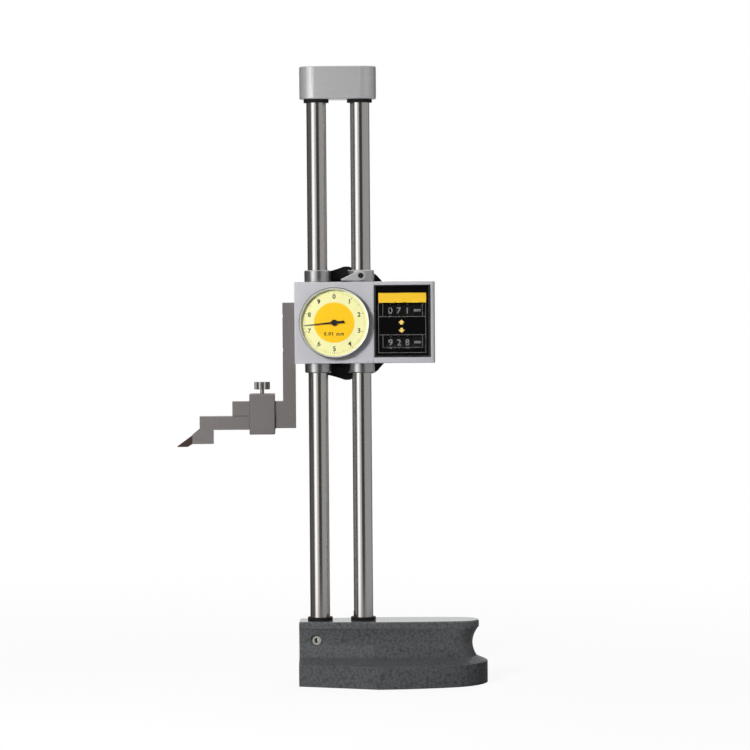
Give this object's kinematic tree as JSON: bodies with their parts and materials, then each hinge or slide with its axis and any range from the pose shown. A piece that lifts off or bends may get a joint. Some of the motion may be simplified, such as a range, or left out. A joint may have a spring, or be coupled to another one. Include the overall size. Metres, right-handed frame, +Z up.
{
  "type": "dial height gauge",
  "caption": "Twin-column dial height gauge: a geared carriage with a round dial, digit counters, a feed wheel and a scriber slides on two columns over a heavy base.",
  "frame": {"origin": "on the surface plate under the base, midway between the axes of the two columns", "axes": "+X from the scriber towards the counters, +Y away from the dial, +Z up along the columns"},
  "size_m": [0.2324, 0.093, 0.4632],
  "materials": {
    "base_paint": "dark grey hammered paint",
    "ground_steel": "ground and plated",
    "rack_steel": "machined",
    "black_rubber": "matte",
    "satin_chrome": "satin plated",
    "black_steel": "blackened",
    "satin_casting": "satin plated",
    "bush_steel": "turned",
    "brass_plate": "machined",
    "panel_black": "matte",
    "clear_pane": "clear",
    "label_yellow": "matte",
    "wheel_black": "matte",
    "jaw_steel": "satin",
    "black_plastic": "semi gloss",
    "hand_black": "matte",
    "bezel_black": "satin",
    "dial_cream": "matte",
    "hard_metal": "ground",
    "thumb_steel": "knurled"
  },
  "bodies": {
    "stand": {"base_casting": "base_paint", "column_left": "ground_steel", "column_right": "ground_steel", "feed_rack": "rack_steel", "buffer_rings": "black_rubber", "top_cap": "satin_chrome", "foot_bolts": "black_steel", "column_set_screws": "rack_steel", "cap_set_screws": "black_steel"},
    "carriage": {"carriage_block": "satin_casting", "bush_upper_left": "bush_steel", "bush_upper_right": "bush_steel", "bush_lower_left": "bush_steel", "bush_lower_right": "bush_steel", "dial_cover": "satin_casting", "cover_screws": "black_steel", "train_plate": "brass_plate", "plate_screws": "rack_steel", "feed_bush": "brass_plate", "counter_housing": "satin_casting", "counter_panel": "panel_black", "counter_pane": "clear_pane", "label_plate": "label_yellow", "counter_shafts": "rack_steel", "unit_plates": "wheel_black", "measuring_jaw": "jaw_steel", "jaw_screws": "black_steel"},
    "feed_drive": {"feed_wheel": "black_plastic", "feed_shaft": "rack_steel", "feed_pinion": "rack_steel", "wheel_screw": "black_steel"},
    "measuring_arbor": {"measuring_arbor": "rack_steel", "measuring_pinion": "brass_plate", "measuring_gear": "brass_plate"},
    "transfer_arbor": {"transfer_arbor": "rack_steel", "transfer_pinion": "brass_plate", "transfer_gear": "brass_plate"},
    "pointer": {"pointer_arbor": "rack_steel", "pointer_pinion": "brass_plate", "pointer": "hand_black"},
    "bezel": {"bezel": "bezel_black", "dial_face": "dial_cream", "crystal": "clear_pane"},
    "clamp_lever": {"clamp_lever": "satin_chrome", "clamp_screw": "rack_steel"},
    "scriber": {"scriber": "jaw_steel", "scriber_tip": "hard_metal"},
    "clamp_box": {"clamp_box": "jaw_steel"},
    "thumb_screw": {"thumb_screw": "thumb_steel"},
    "up_units_wheel": {"up_units_wheel": "wheel_black"},
    "up_tens_wheel": {"up_tens_wheel": "wheel_black"},
    "up_hundreds_wheel": {"up_hundreds_wheel": "wheel_black"},
    "down_units_wheel": {"down_units_wheel": "wheel_black"},
    "down_tens_wheel": {"down_tens_wheel": "wheel_black"},
    "down_hundreds_wheel": {"down_hundreds_wheel": "wheel_black"}
  },
  "joints": [
    {"name": "carriage_slide", "type": "slide", "parent": "stand", "child": "carriage", "axis": [0, 0, 1], "range_m": [-0.1785, 0.1249]},
    {"name": "feed_turn", "type": "hinge", "parent": "carriage", "child": "feed_drive", "pos_m": [0.00525, 0, 0.2706], "axis": [0, 1, 0], "continuous": true},
    {"name": "measuring_turn", "type": "hinge", "parent": "carriage", "child": "measuring_arbor", "pos_m": [0.00653, 0, 0.26155], "axis": [0, 1, 0], "continuous": true},
    {"name": "transfer_turn", "type": "hinge", "parent": "carriage", "child": "transfer_arbor", "pos_m": [-0.01144, 0, 0.26271], "axis": [0, 1, 0], "continuous": true},
    {"name": "pointer_turn", "type": "hinge", "parent": "carriage", "child": "pointer", "pos_m": [-0.0036, 0, 0.2718], "axis": [0, 1, 0], "continuous": true},
    {"name": "bezel_turn", "type": "hinge", "parent": "carriage", "child": "bezel", "pos_m": [-0.0036, 0, 0.2718], "axis": [0, 1, 0], "continuous": true},
    {"name": "clamp_turn", "type": "hinge", "parent": "carriage", "child": "clamp_lever", "pos_m": [0.01625, 0, 0.3067], "axis": [0, 1, 0], "range_deg": [0, 30]},
    {"name": "scriber_slide", "type": "slide", "parent": "carriage", "child": "scriber", "axis": [1, 0, 0], "range_m": [-0.015, 0]},
    {"name": "box_slide", "type": "slide", "parent": "carriage", "child": "clamp_box", "axis": [1, 0, 0], "range_m": [-0.01, 0]},
    {"name": "thumb_turn", "type": "hinge", "parent": "clamp_box", "child": "thumb_screw", "pos_m": [-0.0586, 0, 0.2127], "axis": [0, 0, 1], "range_deg": [0, 360]},
    {"name": "up_units_turn", "type": "hinge", "parent": "carriage", "child": "up_units_wheel", "pos_m": [0.046, -0.0093, 0.2804], "axis": [1, 0, 0], "continuous": true},
    {"name": "up_tens_turn", "type": "hinge", "parent": "carriage", "child": "up_tens_wheel", "pos_m": [0.046, -0.0093, 0.2804], "axis": [1, 0, 0], "continuous": true},
    {"name": "up_hundreds_turn", "type": "hinge", "parent": "carriage", "child": "up_hundreds_wheel", "pos_m": [0.046, -0.0093, 0.2804], "axis": [1, 0, 0], "continuous": true},
    {"name": "down_units_turn", "type": "hinge", "parent": "carriage", "child": "down_units_wheel", "pos_m": [0.046, -0.0093, 0.2566], "axis": [1, 0, 0], "continuous": true},
    {"name": "down_tens_turn", "type": "hinge", "parent": "carriage", "child": "down_tens_wheel", "pos_m": [0.046, -0.0093, 0.2566], "axis": [1, 0, 0], "continuous": true},
    {"name": "down_hundreds_turn", "type": "hinge", "parent": "carriage", "child": "down_hundreds_wheel", "pos_m": [0.046, -0.0093, 0.2566], "axis": [1, 0, 0], "continuous": true}
  ],
  "couplings": [
    {"joint": "feed_turn", "follows": "carriage_slide", "rad_per_m": 224.4},
    {"joint": "measuring_turn", "follows": "carriage_slide", "rad_per_m": 314.16},
    {"joint": "transfer_turn", "follows": "carriage_slide", "rad_per_m": -1570.8},
    {"joint": "pointer_turn", "follows": "carriage_slide", "rad_per_m": 6283.2},
    {"joint": "up_units_turn", "follows": "carriage_slide", "rad_per_m": 628.32},
    {"joint": "up_tens_turn", "follows": "carriage_slide", "rad_per_m": 62.832},
    {"joint": "up_hundreds_turn", "follows": "carriage_slide", "rad_per_m": 6.2832},
    {"joint": "down_units_turn", "follows": "carriage_slide", "rad_per_m": -628.32},
    {"joint": "down_tens_turn", "follows": "carriage_slide", "rad_per_m": -62.832},
    {"joint": "down_hundreds_turn", "follows": "carriage_slide", "rad_per_m": -6.2832}
  ]
}
